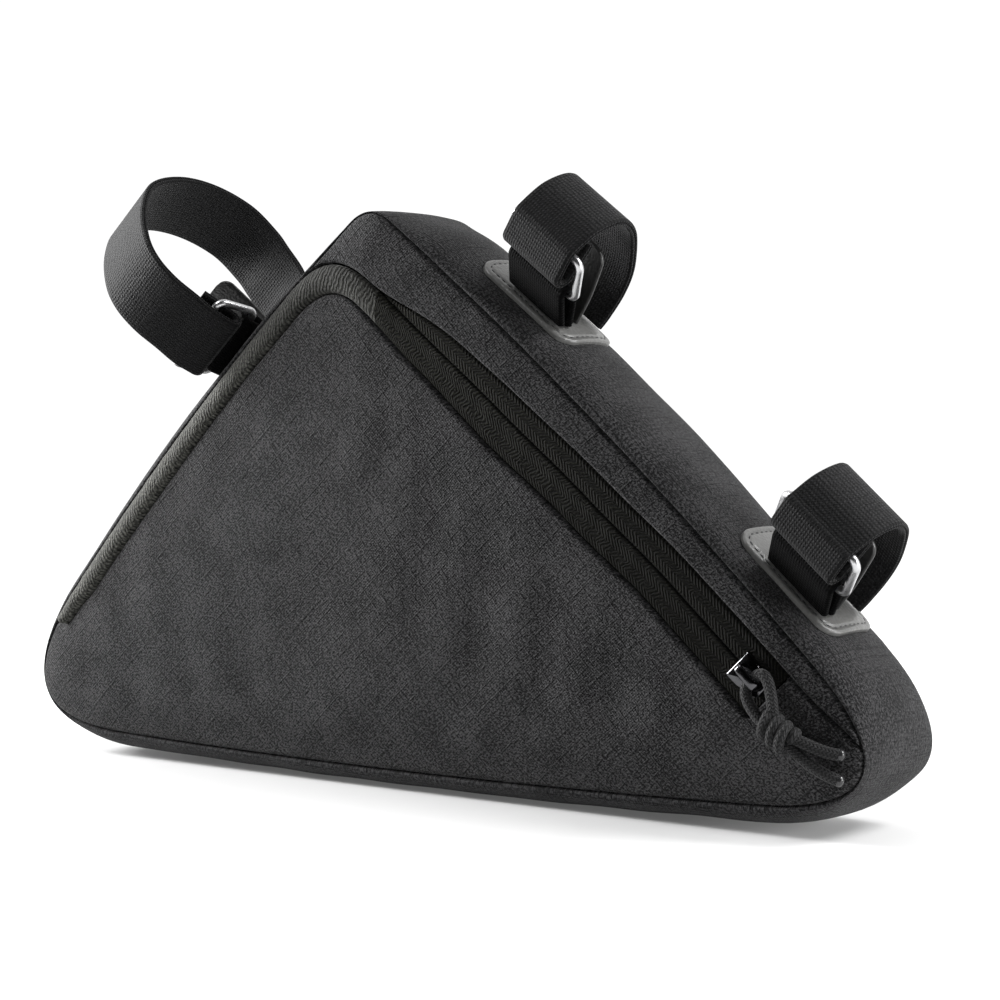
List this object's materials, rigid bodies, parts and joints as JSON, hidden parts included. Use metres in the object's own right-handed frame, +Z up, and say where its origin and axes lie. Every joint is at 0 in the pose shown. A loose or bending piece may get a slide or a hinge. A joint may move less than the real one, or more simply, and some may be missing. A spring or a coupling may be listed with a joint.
{
  "type": "bicycle frame bag",
  "caption": "Soft triangular bag that straps inside a bicycle frame, zipped on one face with a corded pull.",
  "frame": {"origin": "middle of the flat on its bottom edge on which it rests", "axes": "+X along the bottom edge from the tail to the nose, -Y out of the zipped face, +Z up"},
  "size_m": [0.3352, 0.0756, 0.2038],
  "materials": {
    "bag_cloth": "matt black melange ripstop cloth",
    "zip_tape": "matt herringbone tape with a water-resistant coil",
    "strap_webbing": "woven black webbing with a loop face",
    "patch_leatherette": "satin dark grey leatherette",
    "ring_metal": "satin nickel",
    "slider_metal": "black nickel",
    "pull_cord": "braided black cord"
  },
  "bodies": {
    "root": {"back_panel": "bag_cloth", "front_band": "bag_cloth", "front_flap": "bag_cloth", "gusset": "bag_cloth", "zip_tape_lower": "zip_tape", "zip_tape_upper": "zip_tape", "zip_slider": "slider_metal", "pull_leg_lower": "pull_cord", "pull_leg_upper": "pull_cord", "pull_knot": "pull_cord", "pull_tail_lower": "pull_cord", "pull_tail_upper": "pull_cord", "patch_upper": "patch_leatherette", "pad_upper": "patch_leatherette", "base_upper": "strap_webbing", "ring_upper": "ring_metal", "strap_upper": "strap_webbing", "patch_lower": "patch_leatherette", "pad_lower": "patch_leatherette", "base_lower": "strap_webbing", "ring_lower": "ring_metal", "strap_lower": "strap_webbing", "patch_rear": "patch_leatherette", "pad_rear": "patch_leatherette", "base_rear": "strap_webbing", "ring_rear": "ring_metal", "strap_rear": "strap_webbing"}
  },
  "joints": []
}
